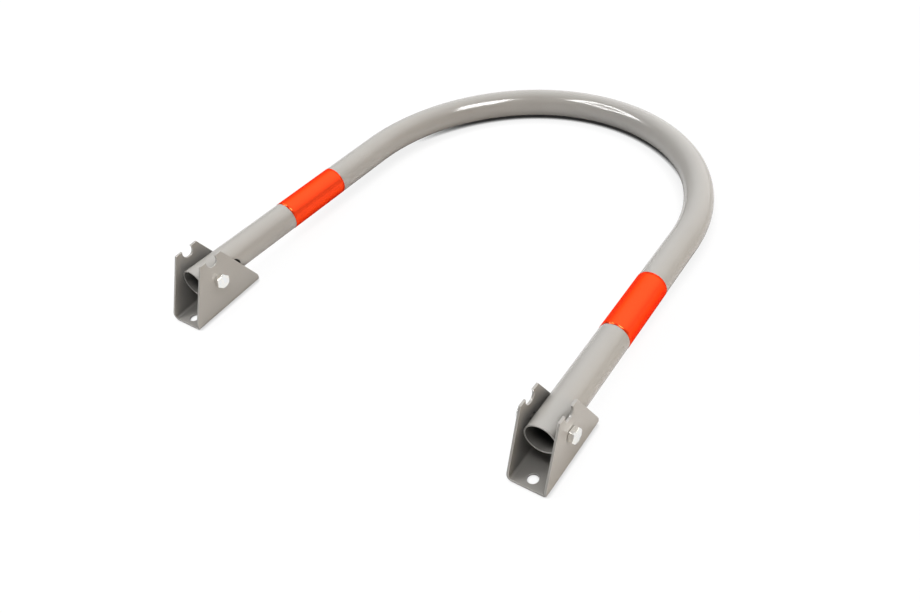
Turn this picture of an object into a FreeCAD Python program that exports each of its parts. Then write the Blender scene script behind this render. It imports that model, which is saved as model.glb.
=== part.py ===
import FreeCAD, Part
import os
import Sketcher
from FreeCAD import Placement, Rotation, Vector

# Folding parking barrier: a bent tube hoop that swings up between two folded floor brackets.
# Frame: origin on the floor midway between the brackets, +X along the pivot axis,
# +Y from the brackets to the crown of the lowered hoop, +Z up. Millimetres and degrees.

doc = FreeCAD.newDocument("parking_barrier")
sizes = doc.addObject("Spreadsheet::Sheet", "Sizes")

# Driving sizes
SIZES = {
    "tubeod": 40,
    "tubewall": 2,
    "legspan": 528,
    "legrun": 340,
    "splay": 1.5,
    "tail": 22,
    "bandstart": 145,
    "bandlength": 100,
    "bandfilm": 0.3,
    "bandgap": 0.02,
    "pivotheight": 45,
    "plate": 3,
    "bendradius": 3,
    "baselength": 110,
    "earheight": 81,
    "eartop": 35,
    "earshoulder": 10,
    "earcorner": 10,
    "sideplay": 0.6,
    "fixinghole": 13,
    "fixingpitch": 85,
    "lockhole": 16.4,
    "lockreach": 32,
    "boltsize": 12,
    "pivotplay": 0.05,
    "boltplay": 0.25,
    "boltflats": 18,
    "boltface": 17.1,
    "boltheadheight": 7.5,
    "bolttip": 1,
    "leftturn": 14,
    "washerod": 24,
    "washerthick": 2,
    "nutflats": 18,
    "nutface": 17.1,
    "nutheight": 12,
    "nuthexheight": 8,
    "nutcollarod": 16.6,
    "ringod": 15,
    "ringthick": 2.6,
    "ringlip": 0.6,
}
for row, (alias, value) in enumerate(SIZES.items(), start=1):
    sizes.set(f"A{row}", alias)
    sizes.set(f"B{row}", str(value))
    sizes.setAlias(f"B{row}", alias)
doc.recompute()

# Sizes that follow from the driving ones
ARCH_RADIUS = "(Sizes.legspan / 2 - Sizes.legrun * sin(Sizes.splay)) / cos(Sizes.splay)"
CROWN = f"(Sizes.legrun * cos(Sizes.splay) + ({ARCH_RADIUS}) * (1 - sin(Sizes.splay)))"
REST_SLOPE = f"asin((Sizes.pivotheight - Sizes.tubeod / 2) / {CROWN})"
EAR_REACH = "sqrt((Sizes.earheight - Sizes.pivotheight)^2 + (Sizes.eartop / 2)^2)"
INNER_WIDTH = (
    "(Sizes.tubeod / cos(Sizes.splay)"
    f" + 2 * (Sizes.sideplay + {EAR_REACH} * tan(Sizes.splay)))"
)
OUTER_WIDTH = f"({INNER_WIDTH} + 2 * Sizes.plate)"
PIVOT_BORE = "Sizes.boltsize + 2 * Sizes.pivotplay"
BOLT_BORE = "Sizes.boltsize + 2 * Sizes.boltplay"
TUBE_BORE = "Sizes.tubeod - 2 * Sizes.tubewall"
OVERCUT = "Sizes.plate"
SIDES = {"left": -1, "right": 1}


def number(formula):
    """Value of a formula over the sheet, without its unit."""
    value = sizes.evalExpression(formula)
    return float(getattr(value, "Value", value))


def new_body(label):
    """Empty body with its own label."""
    body = doc.addObject("PartDesign::Body", label)
    body.Label = label
    return body


def new_sketch(body, role, name):
    """Sketch on one of the body's own origin planes."""
    sketch = body.newObject("Sketcher::SketchObject", f"{body.Name}_{name}")
    support = next(item for item in body.Origin.OriginFeatures if item.Role == role)
    sketch.AttachmentSupport = [(support, "")]
    sketch.MapMode = "FlatFace"
    return sketch


def drive(sketch, constraint, formula):
    """Dimension of a sketch that follows the sheet."""
    index = sketch.addConstraint(Sketcher.Constraint(*constraint, number(formula)))
    sketch.setExpression(f"Constraints[{index}]", formula)


def drive_point(sketch, geometry, point, x, y):
    """Place of one point of a sketch, measured from its origin."""
    drive(sketch, ("DistanceX", -1, 1, geometry, point), x)
    drive(sketch, ("DistanceY", -1, 1, geometry, point), y)


def add_circle(sketch, x, y, diameter):
    """Circle about a driven centre."""
    centre = Vector(number(x), number(y), 0)
    circle = sketch.addGeometry(Part.Circle(centre, Vector(0, 0, 1), number(diameter) / 2))
    drive_point(sketch, circle, 3, x, y)
    drive(sketch, ("Diameter", circle), diameter)


def add_polygon(sketch, corners):
    """Closed outline through driven corners."""
    points = [Vector(number(x), number(y), 0) for x, y in corners]
    ends = points[1:] + points[:1]
    lines = [sketch.addGeometry(Part.LineSegment(*pair)) for pair in zip(points, ends)]
    for line, after in zip(lines, lines[1:] + lines[:1]):
        sketch.addConstraint(Sketcher.Constraint("Coincident", line, 2, after, 1))
    for line, (x, y) in zip(lines, corners):
        drive_point(sketch, line, 1, x, y)


def add_hexagon(sketch, flats):
    """Hexagon with two corners on the sketch's first axis."""
    corner = f"{flats} / 2 / cos(30)"
    add_polygon(sketch, [(f"{corner} * cos({60 * k})", f"{corner} * sin({60 * k})") for k in range(6)])


def add_pad(body, sketch, length, middle=False, reverse=False):
    """Pad of a sketch, to one side of it or about its middle."""
    pad = body.newObject("PartDesign::Pad", f"{sketch.Name}_pad")
    pad.Profile = sketch
    pad.setExpression("Length", length)
    pad.SideType = "Symmetric" if middle else "One side"
    pad.Reversed = reverse
    doc.recompute()
    return pad


def add_pocket(body, sketch, side_type="Symmetric"):
    """Cut of a sketch right through the body, to both sides of the sketch or to its back alone."""
    volume = body.Shape.Volume
    pocket = body.newObject("PartDesign::Pocket", f"{sketch.Name}_pocket")
    pocket.Profile = sketch
    pocket.Type = "ThroughAll"
    pocket.SideType = side_type
    doc.recompute()
    if body.Shape.Volume >= volume:
        raise RuntimeError(f"{pocket.Name} removes nothing")
    return pocket


def add_fillet(body, base, name, radius, chosen):
    """Fillet on the edges of the base that a test picks."""
    fillet = body.newObject("PartDesign::Fillet", f"{body.Name}_{name}")
    edges = [f"Edge{k}" for k, edge in enumerate(base.Shape.Edges, start=1) if chosen(edge)]
    fillet.Base = (base, edges)
    fillet.setExpression("Radius", radius)
    doc.recompute()
    return fillet


def runs_along_y(edge, height):
    """True for a straight edge along Y at the given height."""
    first, last = edge.Vertexes[0].Point, edge.Vertexes[-1].Point
    level = all(abs(point.z - height) < 0.01 for point in (first, last))
    return level and abs(first.x - last.x) < 0.01 and abs(first.y - last.y) > 1


def runs_along_x(edge, height):
    """True for a straight edge along X at the given height."""
    first, last = edge.Vertexes[0].Point, edge.Vertexes[-1].Point
    level = all(abs(point.z - height) < 0.01 for point in (first, last))
    return level and abs(first.y - last.y) < 0.01 and abs(first.x - last.x) > 1


def place(body, x, z):
    """Placement of a body from the sheet."""
    body.setExpression("Placement.Base.x", x)
    body.setExpression("Placement.Base.z", z)


def lean(sketch, side, along):
    """Turn a sketch square to one leg and set it at a distance along the leg from its pivot."""
    sketch.AttachmentOffset = Placement(Vector(), Rotation(Vector(0, side, 0), number("Sizes.splay")))
    x = f"{side} * (Sizes.legspan / 2 - ({along}) * sin(Sizes.splay))"
    sketch.setExpression("AttachmentOffset.Base.x", x)
    sketch.setExpression("AttachmentOffset.Base.z", f"-({along}) * cos(Sizes.splay)")
    sketch.setExpression("AttachmentOffset.Rotation.Angle", "Sizes.splay")


def lower_hoop(body):
    """Lay a piece of the hoop down about the pivot axis until the crown rests on the floor."""
    body.Placement = Placement(Vector(), Rotation(Vector(-1, 0, 0), number(REST_SLOPE)))
    body.setExpression("Placement.Base.z", "Sizes.pivotheight")
    body.setExpression("Placement.Rotation.Angle", REST_SLOPE)


def make_bracket(name, side):
    """Folded floor bracket with fixing holes, pivot holes and round lock notches."""
    body = new_body(f"{name}_bracket")
    half_width = f"{OUTER_WIDTH} / 2"
    block_sketch = new_sketch(body, "XZ_Plane", "block")
    add_polygon(block_sketch, [
        (f"-{half_width}", "0"),
        (half_width, "0"),
        (half_width, "Sizes.earheight"),
        (f"-{half_width}", "Sizes.earheight"),
    ])
    block = add_pad(body, block_sketch, "Sizes.baselength", middle=True)
    add_fillet(body, block, "outer_bend", "Sizes.bendradius + Sizes.plate", lambda e: runs_along_y(e, 0))

    # Channel between the ears
    channel = new_sketch(body, "XZ_Plane", "channel")
    half_gap = f"{INNER_WIDTH} / 2"
    above = f"Sizes.earheight + {OVERCUT}"
    add_polygon(channel, [
        (f"-{half_gap}", "Sizes.plate"),
        (half_gap, "Sizes.plate"),
        (half_gap, above),
        (f"-{half_gap}", above),
    ])
    channel_cut = add_pocket(body, channel)
    plate = number("Sizes.plate")
    add_fillet(body, channel_cut, "inner_bend", "Sizes.bendradius", lambda e: runs_along_y(e, plate))

    # Sloping front and back edges of the ears, eased where they meet the upright ends
    outline = new_sketch(body, "YZ_Plane", "outline")
    for end in (-1, 1):
        add_polygon(outline, [
            (f"{end} * Sizes.baselength / 2", "Sizes.earshoulder"),
            (f"{end} * Sizes.eartop / 2", "Sizes.earheight"),
            (f"{end} * Sizes.eartop / 2", above),
            (f"{end} * (Sizes.baselength / 2 + {OVERCUT})", above),
            (f"{end} * (Sizes.baselength / 2 + {OVERCUT})", "Sizes.earshoulder"),
        ])
    outline_cut = add_pocket(body, outline)
    shoulder = number("Sizes.earshoulder")
    add_fillet(body, outline_cut, "ear_corner", "Sizes.earcorner", lambda e: runs_along_x(e, shoulder))

    # Pivot holes and the round lock notches
    bores = new_sketch(body, "YZ_Plane", "bores")
    add_circle(bores, "0", "Sizes.pivotheight", BOLT_BORE)
    add_circle(bores, "0", "Sizes.pivotheight + Sizes.lockreach", "Sizes.lockhole")
    add_pocket(body, bores)

    # Fixing holes in the base
    fixings = new_sketch(body, "XY_Plane", "fixings")
    for end in (-1, 1):
        add_circle(fixings, "0", f"{end} * Sizes.fixingpitch / 2", "Sizes.fixinghole")
    add_pocket(body, fixings)
    place(body, f"{side} * Sizes.legspan / 2", "0")
    return body


def make_tube():
    """Bent tube: two straight legs, one arch, pivot holes and a lock hole through the left leg."""
    body = new_body("hoop_tube")
    path = new_sketch(body, "XY_Plane", "path")
    foot_x = "(Sizes.legspan / 2 + Sizes.tail * sin(Sizes.splay))"
    foot_y = "-Sizes.tail * cos(Sizes.splay)"
    turn_x = "(Sizes.legspan / 2 - Sizes.legrun * sin(Sizes.splay))"
    turn_y = "Sizes.legrun * cos(Sizes.splay)"
    legs = []
    for side in SIDES.values():
        foot = Vector(side * number(foot_x), number(foot_y), 0)
        turn = Vector(side * number(turn_x), number(turn_y), 0)
        leg = path.addGeometry(Part.LineSegment(foot, turn))
        drive_point(path, leg, 1, f"{side} * {foot_x}", foot_y)
        drive_point(path, leg, 2, f"{side} * {turn_x}", turn_y)
        legs.append(turn)
    arch_arc = Part.Arc(legs[0], Vector(0, number(CROWN), 0), legs[1])
    arch = path.addGeometry(arch_arc)
    path.addConstraint(Sketcher.Constraint("Coincident", 0, 2, arch, 2))
    path.addConstraint(Sketcher.Constraint("Coincident", 1, 2, arch, 1))
    drive(path, ("Radius", arch), ARCH_RADIUS)

    section = new_sketch(body, "XZ_Plane", "section")
    lean(section, SIDES["left"], "-Sizes.tail")
    add_circle(section, "0", "0", "Sizes.tubeod")
    add_circle(section, "0", "0", TUBE_BORE)
    tube = body.newObject("PartDesign::AdditivePipe", "hoop_tube_bend")
    tube.Profile = section
    tube.Spine = (path, [])
    doc.recompute()

    pivots = new_sketch(body, "YZ_Plane", "pivots")
    add_circle(pivots, "0", "0", PIVOT_BORE)
    add_pocket(body, pivots)
    lock = new_sketch(body, "YZ_Plane", "lock")
    add_circle(lock, "Sizes.lockreach", "0", "Sizes.lockhole")
    add_pocket(body, lock, "One side")
    lower_hoop(body)
    return body


def make_band(name, side):
    """Sleeve of reflective film round one leg."""
    body = new_body(f"{name}_band")
    ring = new_sketch(body, "XZ_Plane", "ring")
    lean(ring, side, "Sizes.bandstart")
    inside = "Sizes.tubeod + 2 * Sizes.bandgap"
    add_circle(ring, "0", "0", inside)
    add_circle(ring, "0", "0", f"{inside} + 2 * Sizes.bandfilm")
    add_pad(body, ring, "Sizes.bandlength", reverse=True)
    lower_hoop(body)
    return body


def cone_cut(body, name, corner, flat, top, out):
    """Turned bevel on the corners of a hexagon, at the end that faces out."""
    profile = new_sketch(body, "XY_Plane", name)
    drop = f"({corner} - {flat}) * tan(30)"
    add_polygon(profile, [
        (top, flat),
        (f"{top} - {out} * {drop}", corner),
        (top, corner),
    ])
    volume = body.Shape.Volume
    groove = body.newObject("PartDesign::Groove", f"{profile.Name}_groove")
    groove.Profile = profile
    axis = next(item for item in body.Origin.OriginFeatures if item.Role == "X_Axis")
    groove.ReferenceAxis = (axis, [""])
    groove.Angle = 360
    doc.recompute()
    if body.Shape.Volume >= volume:
        raise RuntimeError(f"{groove.Name} removes nothing")


def set_along_x(sketch, distance):
    """Shift a sketch that looks along X to a distance from the middle of the bracket."""
    sketch.setExpression("AttachmentOffset.Base.z", distance)


def make_bolt(name, side, turn):
    """Hexagon bolt that carries one leg; its head is on the +X side of the bracket."""
    body = new_body(f"{name}_bolt")
    seat = f"{OUTER_WIDTH} / 2"
    head = new_sketch(body, "YZ_Plane", "head")
    set_along_x(head, seat)
    add_hexagon(head, "Sizes.boltflats")
    add_pad(body, head, "Sizes.boltheadheight")
    corner = "Sizes.boltflats / 2 / cos(30)"
    cone_cut(body, "bevel", corner, "Sizes.boltface / 2", f"{seat} + Sizes.boltheadheight", 1)

    shank = new_sketch(body, "YZ_Plane", "shank")
    set_along_x(shank, seat)
    add_circle(shank, "0", "0", "Sizes.boltsize")
    length = f"{OUTER_WIDTH} + Sizes.washerthick + Sizes.nutheight + Sizes.bolttip"
    add_pad(body, shank, length, reverse=True)
    place(body, f"{side} * Sizes.legspan / 2", "Sizes.pivotheight")
    turn_about_x(body, turn)
    return body


def turn_about_x(body, turn):
    """Turn a hexagon piece about the pivot axis, as it came to rest when tightened."""
    body.Placement = Placement(body.Placement.Base, Rotation(Vector(1, 0, 0), number(turn)))
    body.setExpression("Placement.Rotation.Angle", turn)


def make_washer(name, side):
    """Flat washer under the nut."""
    body = new_body(f"{name}_washer")
    ring = new_sketch(body, "YZ_Plane", "ring")
    set_along_x(ring, f"-{OUTER_WIDTH} / 2")
    add_circle(ring, "0", "0", "Sizes.washerod")
    add_circle(ring, "0", "0", BOLT_BORE)
    add_pad(body, ring, "Sizes.washerthick", reverse=True)
    place(body, f"{side} * Sizes.legspan / 2", "Sizes.pivotheight")
    return body


NUT_SEAT = f"({OUTER_WIDTH} / 2 + Sizes.washerthick)"
RING_SEAT = f"({NUT_SEAT} + Sizes.nutheight - Sizes.ringlip - Sizes.ringthick)"


def make_nut(name, side, turn):
    """Lock nut: hexagon, round collar and a turned seat for its nylon ring."""
    body = new_body(f"{name}_nut")
    hexagon = new_sketch(body, "YZ_Plane", "hexagon")
    set_along_x(hexagon, f"-{NUT_SEAT}")
    add_hexagon(hexagon, "Sizes.nutflats")
    add_pad(body, hexagon, "Sizes.nuthexheight", reverse=True)
    corner = "Sizes.nutflats / 2 / cos(30)"
    flat = "Sizes.nutface / 2"
    cone_cut(body, "bevel", corner, flat, f"-({NUT_SEAT} + Sizes.nuthexheight)", -1)
    collar = new_sketch(body, "YZ_Plane", "collar")
    set_along_x(collar, f"-{NUT_SEAT}")
    add_circle(collar, "0", "0", "Sizes.nutcollarod")
    add_pad(body, collar, "Sizes.nutheight", reverse=True)

    # Threaded bore, taken as a plain bore, and the groove that holds the ring
    bore = new_sketch(body, "YZ_Plane", "bore")
    add_circle(bore, "0", "0", PIVOT_BORE)
    add_pocket(body, bore)
    seat = new_sketch(body, "XY_Plane", "ring_seat")
    ring_start = f"-{RING_SEAT}"
    ring_end = f"-({RING_SEAT} + Sizes.ringthick)"
    within_bore = "Sizes.boltsize / 4"
    add_polygon(seat, [
        (ring_start, within_bore),
        (ring_start, "Sizes.ringod / 2"),
        (ring_end, "Sizes.ringod / 2"),
        (ring_end, within_bore),
    ])
    groove = body.newObject("PartDesign::Groove", f"{seat.Name}_groove")
    groove.Profile = seat
    axis = next(item for item in body.Origin.OriginFeatures if item.Role == "X_Axis")
    groove.ReferenceAxis = (axis, [""])
    groove.Angle = 360
    doc.recompute()
    place(body, f"{side} * Sizes.legspan / 2", "Sizes.pivotheight")
    turn_about_x(body, turn)
    return body


def make_nut_ring(name, side):
    """Nylon ring held in the collar of the lock nut."""
    body = new_body(f"{name}_nut_ring")
    ring = new_sketch(body, "YZ_Plane", "ring")
    set_along_x(ring, f"-{RING_SEAT}")
    add_circle(ring, "0", "0", "Sizes.ringod")
    add_circle(ring, "0", "0", PIVOT_BORE)
    add_pad(body, ring, "Sizes.ringthick", reverse=True)
    place(body, f"{side} * Sizes.legspan / 2", "Sizes.pivotheight")
    return body


pieces = [make_tube()]
for name, side in SIDES.items():
    turn = "Sizes.leftturn" if name == "left" else "0"
    pieces.append(make_bracket(name, side))
    pieces.append(make_bolt(name, side, turn))
    pieces.append(make_washer(name, side))
    pieces.append(make_nut(name, side, turn))
    pieces.append(make_nut_ring(name, side))
    pieces.append(make_band(name, side))
doc.recompute()

# Every object must have built before anything is written
for item in doc.Objects:
    if "Invalid" in item.State or "Error" in item.State:
        raise RuntimeError(f"{item.Label} failed: {item.State}")
os.makedirs("parts", exist_ok=True)
for piece in pieces:
    shape = piece.Shape
    if shape.isNull() or not shape.isValid() or len(shape.Solids) != 1:
        raise RuntimeError(f"{piece.Label} is not one valid solid")
    shape.exportStep(f"parts/{piece.Label}.step")
    box = shape.BoundBox
    print(f"{piece.Label}: {shape.Volume:.1f} mm3,"
          f" x {box.XMin:.2f} to {box.XMax:.2f}, y {box.YMin:.2f} to {box.YMax:.2f},"
          f" z {box.ZMin:.2f} to {box.ZMax:.2f}")
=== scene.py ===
import math

import bmesh
import bpy
from mathutils import Euler, Matrix, Vector


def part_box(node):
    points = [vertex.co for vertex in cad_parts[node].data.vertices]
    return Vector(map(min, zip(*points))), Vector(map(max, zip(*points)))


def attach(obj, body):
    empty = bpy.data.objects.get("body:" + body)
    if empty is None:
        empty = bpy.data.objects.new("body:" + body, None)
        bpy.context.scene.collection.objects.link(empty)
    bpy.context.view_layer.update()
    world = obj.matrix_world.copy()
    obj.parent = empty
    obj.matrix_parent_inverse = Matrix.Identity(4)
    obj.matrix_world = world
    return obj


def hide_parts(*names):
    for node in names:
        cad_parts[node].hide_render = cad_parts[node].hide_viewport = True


# Folding parking barrier: a painted tube hoop with two reflective bands, hinged on bolts between
# two folded floor brackets. In metres, with +X along the pivots, +Y to the crown of the lowered
# hoop and +Z up.
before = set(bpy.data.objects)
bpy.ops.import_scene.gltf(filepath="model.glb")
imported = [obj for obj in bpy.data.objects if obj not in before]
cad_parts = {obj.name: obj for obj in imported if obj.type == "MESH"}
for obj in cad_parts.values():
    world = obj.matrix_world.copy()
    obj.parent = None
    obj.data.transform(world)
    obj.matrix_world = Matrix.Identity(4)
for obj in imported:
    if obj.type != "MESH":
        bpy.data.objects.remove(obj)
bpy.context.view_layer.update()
scene = bpy.context.scene
scene.view_settings.view_transform = "Standard"

MM = 0.001
SIDES = {"left": -1, "right": 1}

# Camera of the photograph, with its focal length and its crop in pixels
CAMERA_AZIMUTH = math.radians(39.439)
CAMERA_ELEVATION = math.radians(43.274)
CAMERA_ROLL = math.radians(-9.036)
CAMERA_AIM = Vector((0.08737, 0.17162, 0))
CAMERA_DISTANCE = 1.1107
SENSOR_WIDTH = 36
PHOTO_WIDTH = 920
FOCAL_LENGTH = 871
CROP_SHIFT_X = -44.2
CROP_SHIFT_Y = -6.3

# Hoop
TUBE_RADIUS = 20 * MM
TUBE_WALL = 2 * MM
LEG_SPACING = 528 * MM
LEG_RUN = 340 * MM
LEG_TAIL = 22 * MM
LEG_SPLAY = math.radians(1.5)
PIVOT_HEIGHT = 45 * MM
PIVOT_HOLE = 12.1 * MM
LOCK_HOLE = 16.4 * MM
LOCK_REACH = 32 * MM
TURN_X = LEG_SPACING / 2 - LEG_RUN * math.sin(LEG_SPLAY)
TURN_Y = LEG_RUN * math.cos(LEG_SPLAY)
ARCH_RADIUS = TURN_X / math.cos(LEG_SPLAY)
ARCH_CENTRE = TURN_Y - ARCH_RADIUS * math.sin(LEG_SPLAY)
REST_SLOPE = math.asin((PIVOT_HEIGHT - TUBE_RADIUS) / (ARCH_CENTRE + ARCH_RADIUS))
HOOP_MIDDLE = Vector((0, ARCH_CENTRE, 0))
LOWERED = Matrix.Translation((0, 0, PIVOT_HEIGHT)) @ Matrix.Rotation(-REST_SLOPE, 4, "X")

# Lengths of the cutters, in leg spacings past both legs and in tube radii past one leg
PAST_BOTH_LEGS = 1.5
PAST_ONE_LEG = 4.0

# Enamel overspray in the tube ends, fading into painted shade deeper in the bore, along +Y
BORE_FADE_START = -22 * MM
BORE_FADE_END = 10 * MM
BORE_FADE_RAGGED = 8 * MM

# Reflective bands; the film climbs onto its own start over an angle, lifted by a share of its
# thickness
BAND_START = 145 * MM
BAND_LENGTH = 100 * MM
FILM_GAP = 0.02 * MM
FILM_THICKNESS = 0.3 * MM
FILM_LAP = 9 * MM
LAP_CLIMB = 0.12
LAP_LIFT = 1.05

# Pivot fasteners, measured along the bolt from the middle of its bracket
BRACKET_HALF = (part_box("right_bracket")[1].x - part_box("right_bracket")[0].x) / 2
BOLT_RADIUS = 6 * MM
BOLT_FLATS = 18 * MM
BOLT_FACE = 17.1 * MM
HEX_BEVEL = math.radians(30)
HEAD_HEIGHT = 7.5 * MM
HEAD_FACE_RING = 0.55
HEAD_WASHER_RADIUS = 8.3 * MM
HEAD_WASHER_HEIGHT = 0.5 * MM
THREAD_LENGTH = 30 * MM
THREAD_PITCH = 1.75 * MM
THREAD_DEPTH = 1.0 * MM
THREAD_TIP = 0.8
BOLT_TIP = 1 * MM
BOLT_TURNS = {"left": math.radians(14), "right": 0.0}
WASHER_RADIUS = 12 * MM
WASHER_HOLE = 6.25 * MM
WASHER_THICKNESS = 2 * MM
NUT_HEIGHT = 12 * MM
NUT_HEX_HEIGHT = 8 * MM
NUT_BORE = BOLT_RADIUS + 0.05 * MM
NUT_BORE_BEVEL = 0.6 * MM
NUT_COLLAR_RADIUS = 8.3 * MM
NUT_LIP_RADIUS = 6.95 * MM
RING_RADIUS = 7.5 * MM
RING_THICKNESS = 2.6 * MM
RING_LIP = 0.6 * MM

# Crimped end of the nut's collar, as heights over the end and insets
COLLAR_CRIMP = ((1.4 * MM, 0.0), (0.5 * MM, 0.35 * MM), (0.0, 0.95 * MM))

# Colours, most of them as the two linear tones that a noise runs between
ENAMEL_GREY = ((0.415, 0.4, 0.375), (0.395, 0.38, 0.357))
# Lighter grey of the rounded edges, a painted highlight
EDGE_HIGHLIGHT_GREY = ((0.48, 0.465, 0.44), (0.46, 0.445, 0.42))
# Bore tones, darker than the real finish as painted shade inside the tube
OVERSPRAY_SHADED_GREY = (0.24, 0.232, 0.216, 1)
MILL_SCALE_AND_SHADE = ((0.022, 0.021, 0.02), (0.035, 0.033, 0.03))
# Grease tone, darker also as painted shade between the tube and the ears
GREASE_SHADE = ((0.05, 0.047, 0.042), (0.09, 0.085, 0.078))
ZINC_PLATE = ((0.86, 0.84, 0.79), (0.8, 0.81, 0.81))
NYLON_WHITE = ((0.80, 0.82, 0.78), (0.70, 0.73, 0.70))
FILM_RED = ((1.0, 0.074, 0.019), (0.99, 0.066, 0.016))
FILM_SHEEN = (1.0, 0.1, 0.03, 1)

# Middle range of a noise, and the colour sockets of a Mix node
NOISE_RANGE = (0.3, 0.7)
MIX_FIRST = 6
MIX_SECOND = 7
MIX_RESULT = 2

# Reach of the shade in the enamel, and how it thins the colour as more of the sky is hidden
HOOP_SHADE = 8 * MM
BRACKET_SHADE = 85 * MM
EDGE_SHADE = 5 * MM
SHADE_SPAN = (0.3, 0.95)
SHADE_COLOUR = (0.5, 1.0)

# Floor; each shade has its reach and the open shares of the sky from dark to white
FLOOR_RADIUS = 40
FLOOR_DROP = 0.2 * MM
FLOOR_PAPER = (0.75, 0.75, 0.75, 1)
FLOOR_GLOW = 1.04
FLOOR_GLOW_SHARE = 0.91
CONTACT_LINE = (9 * MM, 0.35, 0.75)
BROAD_SHADE = (22 * MM, 0.4, 0.9)
MIRRORED_SHADE = (35 * MM, 0.45, 0.9)
BROAD_SHARE = 0.12
LINE_START = (0.08, 0.2)
LINE_AT_BRACKETS = 0.35

# Light
WINDOW_SIDE = Vector((0.0, 0.76, 0.65)).normalized()
WINDOW_SPAN = (0.4, 1.0)
WINDOW_LIGHT = 1.75
BACKDROP_HEIGHT = 0.2
BACKDROP_GREY = 0.3
ROOM_LIGHT = 0.03
LEFT_LAMP = (-1.52, -0.45, 2.43)
WARM_WHITE = (1, 0.8, 0.58)


def set_camera():
    """Camera at the photograph's place: its angles, its distance and its small off-centre crop."""
    data = bpy.data.cameras.new("photo_camera")
    data.sensor_width = SENSOR_WIDTH
    data.lens = FOCAL_LENGTH / PHOTO_WIDTH * SENSOR_WIDTH
    data.shift_x = CROP_SHIFT_X / PHOTO_WIDTH
    data.shift_y = CROP_SHIFT_Y / PHOTO_WIDTH
    tilt = Matrix.Rotation(math.pi / 2 - CAMERA_ELEVATION, 4, "X")
    turn = Matrix.Rotation(CAMERA_AZIMUTH, 4, "Z") @ tilt
    place = CAMERA_AIM + turn.to_3x3() @ Vector((0, 0, CAMERA_DISTANCE))
    camera = bpy.data.objects.new("photo_camera", data)
    camera.matrix_world = Matrix.Translation(place) @ turn @ Matrix.Rotation(CAMERA_ROLL, 4, "Z")
    scene.collection.objects.link(camera)
    scene.camera = camera


# Nodes


def add_node(tree, kind, values=None, **settings):
    """Node with its settings, and each input set to a value or linked to one or more sockets."""
    node = tree.nodes.new(kind)
    for name, value in settings.items():
        setattr(node, name, value)
    for name, value in (values or {}).items():
        sources = value if isinstance(value, list) else [value]
        for source in sources:
            if isinstance(source, bpy.types.NodeSocket):
                tree.links.new(source, node.inputs[name])
            else:
                node.inputs[name].default_value = source
    return node


def maths(tree, operation, *values):
    """Result of one sum on sockets and numbers."""
    return add_node(tree, "ShaderNodeMath", dict(enumerate(values)), operation=operation).outputs[0]


def point(tree, **axes):
    """Vector from sockets and numbers by axis."""
    return add_node(tree, "ShaderNodeCombineXYZ", axes).outputs[0]


def mapped(tree, value, span, result, smooth=False):
    """Value that runs over a result as another runs over a span, and stays at the ends beyond it."""
    values = {
        "Value": value,
        "From Min": span[0],
        "From Max": span[1],
        "To Min": result[0],
        "To Max": result[1],
    }
    course = "SMOOTHSTEP" if smooth else "LINEAR"
    return add_node(tree, "ShaderNodeMapRange", values, interpolation_type=course).outputs["Result"]


# Materials


def new_material(name):
    """Material, its tree, its shader and its Object coordinates."""
    material = bpy.data.materials.new(name)
    material.use_nodes = True
    tree = material.node_tree
    place = add_node(tree, "ShaderNodeTexCoord").outputs["Object"]
    return material, tree, tree.nodes["Principled BSDF"], place


def noise(tree, place, scale, detail):
    """Soft noise with a number of patches to the metre."""
    values = {"Vector": place, "Scale": scale, "Detail": detail}
    return add_node(tree, "ShaderNodeTexNoise", values).outputs["Fac"]


def between(tree, share, low, high):
    """Value that runs from low to high as a noise runs over its middle range."""
    return mapped(tree, share, NOISE_RANGE, (low, high))


def two_tones(tree, share, tones):
    """Colour that runs between two tones as a noise runs over its middle range."""
    ramp = add_node(tree, "ShaderNodeValToRGB", {"Fac": share})
    for stop, place, tone in zip(ramp.color_ramp.elements, NOISE_RANGE, tones):
        stop.position = place
        stop.color = (*tone, 1)
    return ramp.outputs["Color"]


def give_coat(tree, shader, colour, roughness):
    """Colour and roughness of a shader."""
    tree.links.new(colour, shader.inputs["Base Color"])
    tree.links.new(roughness, shader.inputs["Roughness"])


def raise_grain(tree, shader, height, strength, distance):
    """Fine relief on a shader."""
    values = {"Height": height, "Strength": strength, "Distance": distance}
    normal = add_node(tree, "ShaderNodeBump", values).outputs["Normal"]
    tree.links.new(normal, shader.inputs["Normal"])


def make_enamel(name, tones, reach, channel):
    """Clouded grey enamel with painted shade near other faces, or only near its own in a channel."""
    material, tree, shader, place = new_material(name)
    cloud = two_tones(tree, noise(tree, place, scale=14, detail=4), tones)
    near = {"Distance": reach}
    # Painted shade: the enamel's colour darkens as ambient occlusion finds faces within reach
    open_sky = add_node(tree, "ShaderNodeAmbientOcclusion", near, only_local=channel).outputs["AO"]
    shaded = {0: cloud, "Scale": mapped(tree, open_sky, SHADE_SPAN, SHADE_COLOUR)}
    painted_shade = add_node(tree, "ShaderNodeVectorMath", shaded, operation="SCALE").outputs[0]
    polish = noise(tree, place, scale=60, detail=3)
    give_coat(tree, shader, painted_shade, between(tree, polish, low=0.1, high=0.14))
    peel = noise(tree, place, scale=420, detail=1)
    raise_grain(tree, shader, peel, strength=0.015, distance=0.15 * MM)
    return material


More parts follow.
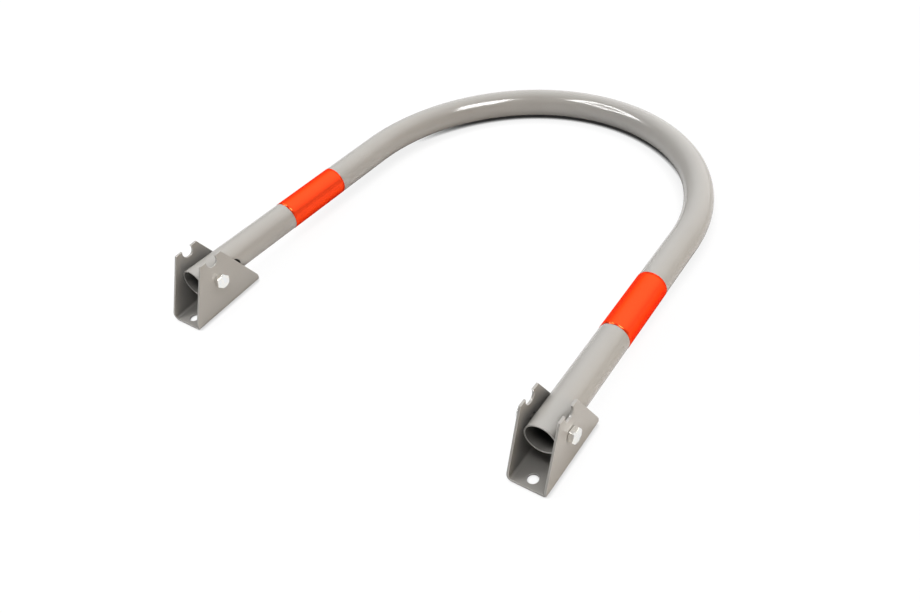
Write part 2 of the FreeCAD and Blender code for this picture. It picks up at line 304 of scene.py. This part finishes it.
def make_bore_steel():
    """Inside of the tube: enamel overspray at the end that fades into dark mill scale and painted
    shade.
    """
    material, tree, shader, place = new_material("dark tube bore")
    depth = add_node(tree, "ShaderNodeSeparateXYZ", {"Vector": place}).outputs["Y"]
    drift = noise(tree, place, scale=120, detail=3)
    ragged = maths(tree, "MULTIPLY_ADD", drift, BORE_FADE_RAGGED, depth)
    # Colour darkens with depth into the bore: painted shade
    fade = mapped(tree, ragged, (BORE_FADE_START, BORE_FADE_END), (0.0, 1.0), smooth=True)
    scale = two_tones(tree, noise(tree, place, scale=260, detail=3), MILL_SCALE_AND_SHADE)
    mix_values = {0: fade, MIX_FIRST: OVERSPRAY_SHADED_GREY, MIX_SECOND: scale}
    mixed = add_node(tree, "ShaderNodeMix", mix_values, data_type="RGBA").outputs[MIX_RESULT]
    rough = noise(tree, place, scale=200, detail=2)
    give_coat(tree, shader, mixed, between(tree, rough, low=0.5, high=0.65))
    shader.inputs["Specular IOR Level"].default_value = 0.1
    grain = noise(tree, place, scale=700, detail=2)
    raise_grain(tree, shader, grain, strength=0.15, distance=0.1 * MM)
    return material


def make_greased_shaded_zinc():
    """Dull zinc under dark grease and painted shade, on the part of a bolt that the tube turns on."""
    material, tree, shader, place = new_material("greased zinc with painted shade")
    shader.inputs["Metallic"].default_value = 1
    smear = noise(tree, place, scale=220, detail=4)
    give_coat(tree, shader, two_tones(tree, smear, GREASE_SHADE), between(tree, smear, low=0.6, high=0.45))
    raise_grain(tree, shader, smear, strength=0.1, distance=0.05 * MM)
    return material


def make_zinc():
    """Bright zinc plate with a faint passivation tint and turned marks."""
    material, tree, shader, place = new_material("bright zinc plate")
    shader.inputs["Metallic"].default_value = 1
    tint = two_tones(tree, noise(tree, place, scale=160, detail=3), ZINC_PLATE)
    polish = noise(tree, place, scale=300, detail=2)
    give_coat(tree, shader, tint, between(tree, polish, low=0.16, high=0.24))
    marks = noise(tree, place, scale=900, detail=2)
    raise_grain(tree, shader, marks, strength=0.03, distance=0.03 * MM)
    return material


def make_nylon():
    """Natural nylon of the lock nut's ring."""
    material, tree, shader, place = new_material("natural nylon")
    shade = noise(tree, place, scale=300, detail=2)
    tint = two_tones(tree, shade, NYLON_WHITE)
    give_coat(tree, shader, tint, between(tree, shade, low=0.35, high=0.5))
    grain = noise(tree, place, scale=1200, detail=2)
    raise_grain(tree, shader, grain, strength=0.1, distance=0.05 * MM)
    return material


def make_film():
    """Red reflective film: fine glass beads on a metallised backing, with an orange sheen."""
    material, tree, shader, place = new_material("red reflective film")
    cells = {"Vector": place, "Scale": 2600}
    beads = add_node(tree, "ShaderNodeTexVoronoi", cells).outputs["Distance"]
    gloss = noise(tree, place, scale=90, detail=2)
    tint = two_tones(tree, beads, FILM_RED)
    give_coat(tree, shader, tint, between(tree, gloss, low=0.09, high=0.13))
    shader.inputs["Metallic"].default_value = 0.45
    shader.inputs["Specular IOR Level"].default_value = 0.0
    shader.inputs["Specular Tint"].default_value = FILM_SHEEN
    raise_grain(tree, shader, beads, strength=0.015, distance=0.05 * MM)
    return material


hoop_enamel = make_enamel("grey stove enamel on the hoop", ENAMEL_GREY, HOOP_SHADE, channel=False)
bracket_enamel = make_enamel(
    "grey stove enamel on the brackets", ENAMEL_GREY, BRACKET_SHADE, channel=True
)
# Edge enamel, lighter than the faces as a painted highlight
enamel_edge = make_enamel("grey stove enamel on edges", EDGE_HIGHLIGHT_GREY, EDGE_SHADE, channel=True)
bore_steel = make_bore_steel()
zinc = make_zinc()
greased_shaded_zinc = make_greased_shaded_zinc()
nylon = make_nylon()
film = make_film()


# Shared mesh work


def new_piece(name, mesh, *materials):
    """Object for a finished mesh, with smooth shading."""
    mesh.shade_smooth()
    for material in materials:
        mesh.materials.append(material)
    piece = bpy.data.objects.new(name, mesh)
    scene.collection.objects.link(piece)
    return piece


def take_result(piece):
    """Keep what a piece's modifiers make as its plain mesh."""
    graph = bpy.context.evaluated_depsgraph_get()
    mesh = bpy.data.meshes.new_from_object(piece.evaluated_get(graph), depsgraph=graph)
    for slot in reversed(range(len(mesh.materials))):
        if mesh.materials[slot] is None:
            mesh.materials.pop(index=slot)
    piece.modifiers.clear()
    piece.data = mesh
    mesh.name = piece.name


def run_tree(tree, name, sizes):
    """Piece from a Geometry Nodes tree, with each named size set on its own socket."""
    piece = bpy.data.objects.new(name, bpy.data.meshes.new(name))
    modifier = piece.modifiers.new(tree.name, "NODES")
    modifier.node_group = tree
    for socket in tree.interface.items_tree:
        if socket.in_out == "INPUT":
            modifier[socket.identifier] = sizes[socket.name]
    scene.collection.objects.link(piece)
    take_result(piece)
    piece.data.shade_smooth()
    return piece


def new_tree(name, sizes):
    """Empty Geometry Nodes tree with a named input for each size, its sizes and its output."""
    tree = bpy.data.node_groups.new(name, "GeometryNodeTree")
    for label in sizes:
        tree.interface.new_socket(label, in_out="INPUT", socket_type="NodeSocketFloat")
    tree.interface.new_socket("Geometry", in_out="OUTPUT", socket_type="NodeSocketGeometry")
    given = tree.nodes.new("NodeGroupInput").outputs
    return tree, given, tree.nodes.new("NodeGroupOutput").inputs["Geometry"]


def finish_tree(tree, geometry, material, output, *exceptions):
    """Realize what a tree makes, give it its material, and chosen faces another, and put it out."""
    real = add_node(tree, "GeometryNodeRealizeInstances", {"Geometry": geometry}).outputs[0]
    for chosen, coat in [(True, material), *exceptions]:
        painted = {"Geometry": real, "Selection": chosen, "Material": coat}
        real = add_node(tree, "GeometryNodeSetMaterial", painted).outputs["Geometry"]
    tree.links.new(real, output)


def round_edges(piece, width, edge_material=0):
    """Round every sharp edge of a piece a little and keep its flat faces flat."""
    bevel = piece.modifiers.new("rounded edges", "BEVEL")
    bevel.width = width
    bevel.segments = 2
    bevel.limit_method = "ANGLE"
    bevel.angle_limit = math.radians(38)
    bevel.loop_slide = False
    bevel.use_clamp_overlap = False
    bevel.material = edge_material
    piece.modifiers.new("flat faces", "WEIGHTED_NORMAL")
    take_result(piece)


def along_x(x, radius, angle):
    """Point round an axis along X, with angle zero at +Y."""
    return Vector((x, radius * math.cos(angle), radius * math.sin(angle)))


def turned_mesh(name, rows, joined):
    """Skin through rows of points round an axis, joined to a ring or closed at both ends."""
    built = bmesh.new()
    rings = [[built.verts.new(place) for place in row] for row in rows]
    followers = rings[1:] + rings[:1] if joined else rings[1:]
    for ring, after in zip(rings, followers):
        for k, vertex in enumerate(ring):
            built.faces.new((ring[k - 1], vertex, after[k], after[k - 1]))
    if not joined:
        built.faces.new(rings[0])
        built.faces.new(rings[-1])
    bmesh.ops.recalc_face_normals(built, faces=built.faces)
    mesh = bpy.data.meshes.new(name)
    built.to_mesh(mesh)
    built.free()
    return mesh


def hexagon_radius(flats, angle):
    """Distance from the axis to the side of a hexagon that has a corner at angle zero."""
    return flats / 2 / math.cos(angle % math.radians(60) - math.radians(30))


ROUND_STEPS = 120
ANGLES = [2 * math.pi * k / ROUND_STEPS for k in range(ROUND_STEPS)]


def round_row(x, radius):
    """Round row of a turned piece."""
    return [along_x(x, radius, angle) for angle in ANGLES]


def hexagon_row(x, flats, face, way):
    """Row where a hexagon's sides meet its turned bevel; way is the side that the bevel faces."""
    row = []
    for angle in ANGLES:
        radius = hexagon_radius(flats, angle)
        drop = way * (radius - face / 2) * math.tan(HEX_BEVEL)
        row.append(along_x(x - drop, radius, angle))
    return row


def straight_hexagon_row(x, flats):
    """Row round the sides of a hexagon."""
    return [along_x(x, hexagon_radius(flats, angle), angle) for angle in ANGLES]


def set_at_pivot(piece, side, turn=0.0):
    """Put a fastener's mesh on the pivot of one leg, turned as it was tightened."""
    place = Matrix.Translation((side * LEG_SPACING / 2, 0, PIVOT_HEIGHT))
    piece.data.transform(place @ Matrix.Rotation(turn, 4, "X"))


def hand_over(piece, body, node):
    """Let a piece ride on its body in place of its CAD node."""
    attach(piece, body)
    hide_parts(node)


# Hoop


def draw_centre_line(tree, given, tail):
    """Curve along the middle of the tube: leg, arch, leg, with the legs run out by a tail."""
    sine = maths(tree, "SINE", given["Splay"])
    cosine = maths(tree, "COSINE", given["Splay"])
    pivot_x = maths(tree, "MULTIPLY", given["Leg spacing"], 0.5)
    foot_x = maths(tree, "MULTIPLY_ADD", sine, tail, pivot_x)
    foot_y = maths(tree, "MULTIPLY", maths(tree, "MULTIPLY", cosine, tail), -1.0)
    foot = point(tree, X=foot_x, Y=foot_y)
    turn = point(tree, X=given["Turn X"], Y=given["Turn Y"])
    line = add_node(tree, "GeometryNodeCurvePrimitiveLine", {"Start": foot, "End": turn}).outputs[0]
    leg = add_node(tree, "GeometryNodeResampleCurve", {"Curve": line, "Count": 60}).outputs[0]
    mirror = {"Geometry": leg, "Scale": (-1, 1, 1)}
    other_leg = add_node(tree, "GeometryNodeTransform", mirror).outputs[0]
    sweep = maths(tree, "MULTIPLY_ADD", given["Splay"], -2.0, math.pi)
    arc_values = {
        "Resolution": 181,
        "Radius": given["Arch radius"],
        "Start Angle": given["Splay"],
        "Sweep Angle": sweep,
    }
    arc = add_node(tree, "GeometryNodeCurveArc", arc_values, mode="RADIUS").outputs["Curve"]
    to_centre = {"Geometry": arc, "Translation": point(tree, Y=given["Arch centre"])}
    arch = add_node(tree, "GeometryNodeTransform", to_centre).outputs[0]
    runs = {"Geometry": [leg, arch, other_leg]}
    joined = add_node(tree, "GeometryNodeJoinGeometry", runs).outputs[0]
    wire = add_node(tree, "GeometryNodeCurveToMesh", {"Curve": joined}).outputs[0]
    ends = {"Geometry": wire, "Distance": 0.02 * MM}
    whole = add_node(tree, "GeometryNodeMergeByDistance", ends).outputs[0]
    return add_node(tree, "GeometryNodeMeshToCurve", {"Mesh": whole}).outputs[0]


def sweep_rod(tree, line, radius):
    """Closed round rod along a line."""
    circle = {"Resolution": 96, "Radius": radius}
    profile = add_node(tree, "GeometryNodeCurvePrimitiveCircle", circle).outputs["Curve"]
    values = {"Curve": line, "Profile Curve": profile, "Fill Caps": True}
    return add_node(tree, "GeometryNodeCurveToMesh", values).outputs["Mesh"]


def cross_drill(tree, diameter, middle, reach, length):
    """Cutter along X about a point in the plane of the hoop."""
    radius = maths(tree, "MULTIPLY", diameter, 0.5)
    drill = {"Vertices": 72, "Radius": radius, "Depth": length}
    rod = add_node(tree, "GeometryNodeMeshCylinder", drill).outputs["Mesh"]
    offset = point(tree, X=middle, Y=reach)
    set_across = {"Geometry": rod, "Translation": offset, "Rotation": Euler((0, math.pi / 2, 0))}
    return add_node(tree, "GeometryNodeTransform", set_across).outputs["Geometry"]


HOOP_SIZES = {
    "Leg spacing": LEG_SPACING,
    "Turn X": TURN_X,
    "Turn Y": TURN_Y,
    "Arch radius": ARCH_RADIUS,
    "Arch centre": ARCH_CENTRE,
    "Splay": LEG_SPLAY,
    "Tail": LEG_TAIL,
    "Tube radius": TUBE_RADIUS,
    "Wall": TUBE_WALL,
    "Pivot hole": PIVOT_HOLE,
    "Lock hole": LOCK_HOLE,
    "Lock reach": LOCK_REACH,
}


def make_hoop_tree():
    """Bent tube with its bore and its cross holes, laid flat round the pivot axis."""
    tree, given, output = new_tree("bent hoop tube", HOOP_SIZES)
    rod = sweep_rod(tree, draw_centre_line(tree, given, given["Tail"]), given["Tube radius"])
    bore_tail = maths(tree, "ADD", given["Tail"], given["Wall"])
    bore_radius = maths(tree, "SUBTRACT", given["Tube radius"], given["Wall"])
    bore = sweep_rod(tree, draw_centre_line(tree, given, bore_tail), bore_radius)
    mark = {"Geometry": bore, "Name": "in bore", "Value": True}
    marked = add_node(
        tree, "GeometryNodeStoreNamedAttribute", mark, data_type="BOOLEAN", domain="FACE"
    ).outputs["Geometry"]
    both_legs = maths(tree, "MULTIPLY", given["Leg spacing"], PAST_BOTH_LEGS)
    pivots = cross_drill(tree, given["Pivot hole"], middle=0.0, reach=0.0, length=both_legs)
    left_leg = maths(tree, "MULTIPLY", given["Leg spacing"], -0.5)
    one_leg = maths(tree, "MULTIPLY", given["Tube radius"], PAST_ONE_LEG)
    lock = cross_drill(tree, given["Lock hole"], left_leg, given["Lock reach"], one_leg)
    cut = {"Mesh 1": rod, "Mesh 2": [marked, pivots, lock]}
    tube = add_node(tree, "GeometryNodeMeshBoolean", cut, operation="DIFFERENCE", solver="EXACT")
    clean = {"Geometry": tube.outputs["Mesh"], "Distance": 0.06 * MM}
    merged = add_node(tree, "GeometryNodeMergeByDistance", clean).outputs[0]
    named = {"Name": "in bore"}
    in_bore = add_node(tree, "GeometryNodeInputNamedAttribute", named, data_type="BOOLEAN")
    bore_coat = (in_bore.outputs["Attribute"], bore_steel)
    finish_tree(tree, merged, hoop_enamel, output, bore_coat)
    return tree


def make_hoop():
    """Painted hoop in place of the CAD tube."""
    hoop = run_tree(make_hoop_tree(), "hoop_tube_painted", HOOP_SIZES)
    hoop.data.transform(LOWERED)
    hoop.data.materials.append(enamel_edge)
    round_edges(hoop, width=0.3 * MM, edge_material=len(hoop.data.materials) - 1)
    hand_over(hoop, "hoop", "hoop_tube")


def make_band(name, side):
    """Reflective film wrapped once round a leg, with a lap on the underside."""
    steps_round, steps_along = 168, 24
    axis = Vector((-side * math.sin(LEG_SPLAY), math.cos(LEG_SPLAY), 0))
    across = Vector((math.cos(LEG_SPLAY), side * math.sin(LEG_SPLAY), 0))
    start = Vector((side * LEG_SPACING / 2, 0, 0)) + axis * BAND_START
    stations = [start + axis * (BAND_LENGTH * k / steps_along) for k in range(steps_along + 1)]
    inner = TUBE_RADIUS + FILM_GAP + FILM_THICKNESS
    lap = FILM_LAP / inner
    built = bmesh.new()
    grid = []
    for i in range(steps_round + 1):
        wrapped = (2 * math.pi + lap) * i / steps_round
        climb = min(max((wrapped - 2 * math.pi + LAP_CLIMB) / LAP_CLIMB, 0), 1)
        radius = inner + FILM_THICKNESS * LAP_LIFT * climb * climb * (3 - 2 * climb)
        angle = wrapped - math.pi / 2 - lap / 2
        spoke = across * (radius * math.cos(angle)) + Vector((0, 0, radius * math.sin(angle)))
        grid.append([built.verts.new(LOWERED @ (station + spoke)) for station in stations])
    for here, after in zip(grid, grid[1:]):
        for k in range(steps_along):
            built.faces.new((here[k], after[k], after[k + 1], here[k + 1]))
    mesh = bpy.data.meshes.new(name)
    built.to_mesh(mesh)
    built.free()
    if (mesh.polygons[0].center - LOWERED @ start).dot(mesh.polygons[0].normal) < 0:
        mesh.flip_normals()
    band = new_piece(name, mesh, film)
    thickness = band.modifiers.new("film thickness", "SOLIDIFY")
    thickness.thickness = FILM_THICKNESS
    thickness.offset = -1
    take_result(band)
    hand_over(band, "hoop", name.replace("_film", ""))


# Brackets


def make_bracket(node):
    """Painted bracket with rounded sheet edges in place of its CAD node."""
    mesh = bpy.data.meshes.new(f"{node}_painted")
    built = bmesh.new()
    built.from_mesh(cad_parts[node].data)
    bmesh.ops.remove_doubles(built, verts=built.verts, dist=0.001 * MM)
    built.to_mesh(mesh)
    built.free()
    mesh.materials.clear()
    bracket = new_piece(f"{node}_painted", mesh, bracket_enamel, enamel_edge)
    round_edges(bracket, width=0.45 * MM, edge_material=1)
    hand_over(bracket, "brackets", node)


# Fasteners


THREAD_SIZES = {
    "Radius": BOLT_RADIUS,
    "Pitch": THREAD_PITCH,
    "Depth": THREAD_DEPTH,
    "Length": THREAD_LENGTH,
}


def make_thread_tree():
    """Threaded end of a bolt along Z: its radius drops with the distance from the crest."""
    tree, given, output = new_tree("bolt thread", THREAD_SIZES)
    rod = {
        "Vertices": 64,
        "Side Segments": 200,
        "Radius": given["Radius"],
        "Depth": given["Length"],
    }
    blank = add_node(tree, "GeometryNodeMeshCylinder", rod).outputs["Mesh"]
    position = add_node(tree, "GeometryNodeInputPosition").outputs["Position"]
    axes = add_node(tree, "ShaderNodeSeparateXYZ", {"Vector": position}).outputs
    round_share = maths(tree, "DIVIDE", maths(tree, "ARCTAN2", axes["Y"], axes["X"]), 2 * math.pi)
    turns = maths(tree, "SUBTRACT", maths(tree, "DIVIDE", axes["Z"], given["Pitch"]), round_share)
    phase = maths(tree, "ABSOLUTE", maths(tree, "SUBTRACT", maths(tree, "FRACT", turns), 0.5))
    flank = mapped(tree, phase, (0.06, 0.42), (0.0, 1.0))
    groove = maths(tree, "MULTIPLY", flank, maths(tree, "DIVIDE", given["Depth"], given["Radius"]))
    half_length = maths(tree, "MULTIPLY", given["Length"], 0.5)
    to_tip = maths(tree, "DIVIDE", maths(tree, "ADD", axes["Z"], half_length), given["Radius"])
    tip = maths(tree, "MINIMUM", maths(tree, "ADD", to_tip, THREAD_TIP), 1.0)
    kept = maths(tree, "MINIMUM", maths(tree, "SUBTRACT", 1.0, groove), tip)
    x = maths(tree, "MULTIPLY", axes["X"], kept)
    y = maths(tree, "MULTIPLY", axes["Y"], kept)
    moved = {"Geometry": blank, "Position": point(tree, X=x, Y=y, Z=axes["Z"])}
    cut = add_node(tree, "GeometryNodeSetPosition", moved).outputs["Geometry"]
    finish_tree(tree, cut, zinc, output)
    return tree


def make_bolt(name, side, turn, thread_tree):
    """Hexagon bolt: bevelled head, washer face, plain shank and threaded end."""
    seat = BRACKET_HALF
    top = seat + HEAD_HEIGHT
    under = seat + HEAD_WASHER_HEIGHT
    tip = -(BRACKET_HALF + WASHER_THICKNESS + NUT_HEIGHT + BOLT_TIP)
    thread_start = tip + THREAD_LENGTH
    rows = [
        round_row(top, BOLT_FACE / 2 * HEAD_FACE_RING),
        round_row(top, BOLT_FACE / 2),
        hexagon_row(top, BOLT_FLATS, BOLT_FACE, way=1),
        straight_hexagon_row(under, BOLT_FLATS),
        round_row(under, HEAD_WASHER_RADIUS),
        round_row(seat, HEAD_WASHER_RADIUS),
        round_row(seat, BOLT_RADIUS),
        round_row(thread_start, BOLT_RADIUS),
    ]
    bolt = new_piece(f"{name}_zinc", turned_mesh(name, rows, joined=False), zinc, greased_shaded_zinc)
    round_edges(bolt, width=0.3 * MM)
    thread = run_tree(thread_tree, f"{name}_thread", THREAD_SIZES)
    middle = thread_start - THREAD_LENGTH / 2
    thread.data.transform(Matrix.Translation((middle, 0, 0)) @ Matrix.Rotation(math.pi / 2, 4, "Y"))
    joined = bmesh.new()
    joined.from_mesh(bolt.data)
    joined.from_mesh(thread.data)
    joined.to_mesh(bolt.data)
    joined.free()
    bpy.data.objects.remove(thread)
    # Shank and thread between the ears take the greased zinc, dark also as painted shade
    for face in bolt.data.polygons:
        face.material_index = 1 if abs(face.center.x) < seat - HEAD_WASHER_HEIGHT else 0
    set_at_pivot(bolt, side, turn)
    hand_over(bolt, "brackets", name)


def make_washer(name, side):
    """Punched flat washer."""
    near = -BRACKET_HALF
    far = near - WASHER_THICKNESS
    rows = [
        round_row(near, WASHER_HOLE),
        round_row(near, WASHER_RADIUS),
        round_row(far, WASHER_RADIUS),
        round_row(far, WASHER_HOLE),
    ]
    washer = new_piece(f"{name}_zinc", turned_mesh(name, rows, joined=True), zinc)
    round_edges(washer, width=0.3 * MM)
    set_at_pivot(washer, side)
    hand_over(washer, "brackets", name)


def make_nut(name, side, turn):
    """Lock nut: hexagon bevelled at both ends and a crimped collar over the ring."""
    near = -(BRACKET_HALF + WASHER_THICKNESS)
    far_hexagon = near - NUT_HEX_HEIGHT
    end = near - NUT_HEIGHT
    ring_end = end + RING_LIP
    ring_start = ring_end + RING_THICKNESS
    rows = [
        round_row(near, NUT_BORE + NUT_BORE_BEVEL),
        round_row(near, BOLT_FACE / 2),
        hexagon_row(near, BOLT_FLATS, BOLT_FACE, way=1),
        hexagon_row(far_hexagon, BOLT_FLATS, BOLT_FACE, way=-1),
        round_row(far_hexagon, NUT_COLLAR_RADIUS),
        *(round_row(end + height, NUT_COLLAR_RADIUS - inset) for height, inset in COLLAR_CRIMP),
        round_row(end, NUT_LIP_RADIUS),
        round_row(ring_end, NUT_LIP_RADIUS),
        round_row(ring_end, RING_RADIUS),
        round_row(ring_start, RING_RADIUS),
        round_row(ring_start, NUT_BORE),
        round_row(near - NUT_BORE_BEVEL, NUT_BORE),
    ]
    nut = new_piece(f"{name}_zinc", turned_mesh(name, rows, joined=True), zinc)
    round_edges(nut, width=0.15 * MM)
    set_at_pivot(nut, side, turn)
    hand_over(nut, "brackets", name)


def make_nut_ring(name, side):
    """Nylon ring in the collar of the lock nut."""
    end = -(BRACKET_HALF + WASHER_THICKNESS + NUT_HEIGHT - RING_LIP)
    start = end + RING_THICKNESS
    rows = [
        round_row(start, NUT_BORE),
        round_row(start, RING_RADIUS),
        round_row(end, RING_RADIUS),
        round_row(end, NUT_BORE),
    ]
    ring = new_piece(f"{name}_nylon", turned_mesh(name, rows, joined=True), nylon)
    round_edges(ring, width=0.2 * MM)
    set_at_pivot(ring, side)
    hand_over(ring, "brackets", name)


# Stage


def seen_rays(tree):
    """One for rays from the camera and for those that glossy or clear surfaces send on, else zero."""
    path = add_node(tree, "ShaderNodeLightPath").outputs
    seen = maths(tree, "MAXIMUM", path["Is Camera Ray"], path["Is Glossy Ray"])
    return maths(tree, "MAXIMUM", seen, path["Is Transmission Ray"])


def shade_near(tree, reach, low, high):
    """Light left on the floor: dark where the object hangs over it within reach, else one."""
    near = {"Distance": reach}
    open_sky = add_node(tree, "ShaderNodeAmbientOcclusion", near, samples=16).outputs["AO"]
    return mapped(tree, open_sky, (low, high), (0.02, 1.0))


def make_floor():
    """White floor that keeps a thin dark line under the object and a faint shadow round it."""
    built = bmesh.new()
    bmesh.ops.create_circle(built, cap_ends=True, segments=96, radius=FLOOR_RADIUS)
    mesh = bpy.data.meshes.new("studio_floor")
    built.to_mesh(mesh)
    built.free()
    mesh.transform(Matrix.Translation((0, 0, -FLOOR_DROP)))
    material = bpy.data.materials.new("white studio floor")
    material.use_nodes = True
    tree = material.node_tree
    tree.nodes.clear()
    paper = add_node(tree, "ShaderNodeBsdfDiffuse", {"Color": FLOOR_PAPER}).outputs[0]
    place = add_node(tree, "ShaderNodeTexCoord").outputs["Object"]
    along = add_node(tree, "ShaderNodeSeparateXYZ", {"Vector": place}).outputs["Y"]
    by_hoop = mapped(tree, along, LINE_START, (LINE_AT_BRACKETS, 1.0))
    broad = shade_near(tree, *BROAD_SHADE)
    soft = maths(tree, "MULTIPLY_ADD", broad, BROAD_SHARE, 1 - BROAD_SHARE)
    dark = maths(tree, "MULTIPLY", soft, shade_near(tree, *CONTACT_LINE))
    line_values = {"Factor": by_hoop, "A": 1.0, "B": dark}
    contact = add_node(tree, "ShaderNodeMix", line_values).outputs["Result"]
    mirrored = add_node(tree, "ShaderNodeLightPath").outputs["Is Glossy Ray"]
    shade_values = {"Factor": mirrored, "A": contact, "B": shade_near(tree, *MIRRORED_SHADE)}
    shade = add_node(tree, "ShaderNodeMix", shade_values).outputs["Result"]
    glow = add_node(tree, "ShaderNodeEmission", {"Color": shade, "Strength": FLOOR_GLOW}).outputs[0]
    share = maths(tree, "MULTIPLY", seen_rays(tree), FLOOR_GLOW_SHARE)
    mixed = add_node(tree, "ShaderNodeMixShader", {0: share, 1: paper, 2: glow}).outputs[0]
    add_node(tree, "ShaderNodeOutputMaterial", {"Surface": mixed})
    floor = new_piece("studio_floor", mesh, material)


def make_lamp(name, place, size, power, colour=(1, 1, 1), mirrored=False):
    """Soft lamp, by width and height, that lights the object or is only mirrored in it."""
    data = bpy.data.lights.new(name, "AREA")
    data.shape = "RECTANGLE"
    data.size, data.size_y = size
    data.energy = power
    data.color = colour
    lamp = bpy.data.objects.new(name, data)
    lamp.location = place
    lamp.rotation_euler = (HOOP_MIDDLE - Vector(place)).to_track_quat("-Z", "Y").to_euler()
    lamp.visible_glossy = mirrored
    lamp.visible_diffuse = not mirrored
    scene.collection.objects.link(lamp)


def make_world():
    """Backdrop from white at the floor to grey above it, and a soft window behind the hoop."""
    world = bpy.data.worlds.new("studio")
    world.use_nodes = True
    tree = world.node_tree
    direction = add_node(tree, "ShaderNodeTexCoord").outputs["Generated"]
    facing = {0: direction, 1: WINDOW_SIDE}
    towards = add_node(tree, "ShaderNodeVectorMath", facing, operation="DOT_PRODUCT").outputs["Value"]
    window = mapped(tree, towards, WINDOW_SPAN, (0.0, WINDOW_LIGHT), smooth=True)
    height = add_node(tree, "ShaderNodeSeparateXYZ", {"Vector": direction}).outputs["Z"]
    backdrop = mapped(tree, height, (0.0, BACKDROP_HEIGHT), (1.0, BACKDROP_GREY), smooth=True)
    seen = maths(tree, "MULTIPLY", seen_rays(tree), backdrop)
    around = maths(tree, "MAXIMUM", seen, ROOM_LIGHT)
    background = tree.nodes["Background"].inputs
    background["Color"].default_value = (1, 1, 1, 1)
    tree.links.new(maths(tree, "ADD", around, window), background["Strength"])
    scene.world = world


set_camera()
make_hoop()
thread_tree = make_thread_tree()
for name, side in SIDES.items():
    turn = BOLT_TURNS[name]
    make_bracket(f"{name}_bracket")
    make_band(f"{name}_band_film", side)
    make_bolt(f"{name}_bolt", side, turn, thread_tree)
    make_washer(f"{name}_washer", side)
    make_nut(f"{name}_nut", side, turn)
    make_nut_ring(f"{name}_nut_ring", side)

make_floor()
make_world()
make_lamp("right_softbox", place=(0.7, -0.5, 2.8), size=(0.9, 0.9), power=24)
make_lamp("left_softbox", place=LEFT_LAMP, size=(0.9, 0.9), power=32)
make_lamp("low_right_card", place=(3.0, 0.0, 0.45), size=(1.4, 0.7), power=25, colour=WARM_WHITE)
make_lamp("right_streak", place=(1.27, -0.4, 2.63), size=(1.25, 1.4), power=121, mirrored=True)
make_lamp("left_streak", place=LEFT_LAMP, size=(1.5, 1.4), power=145, mirrored=True)
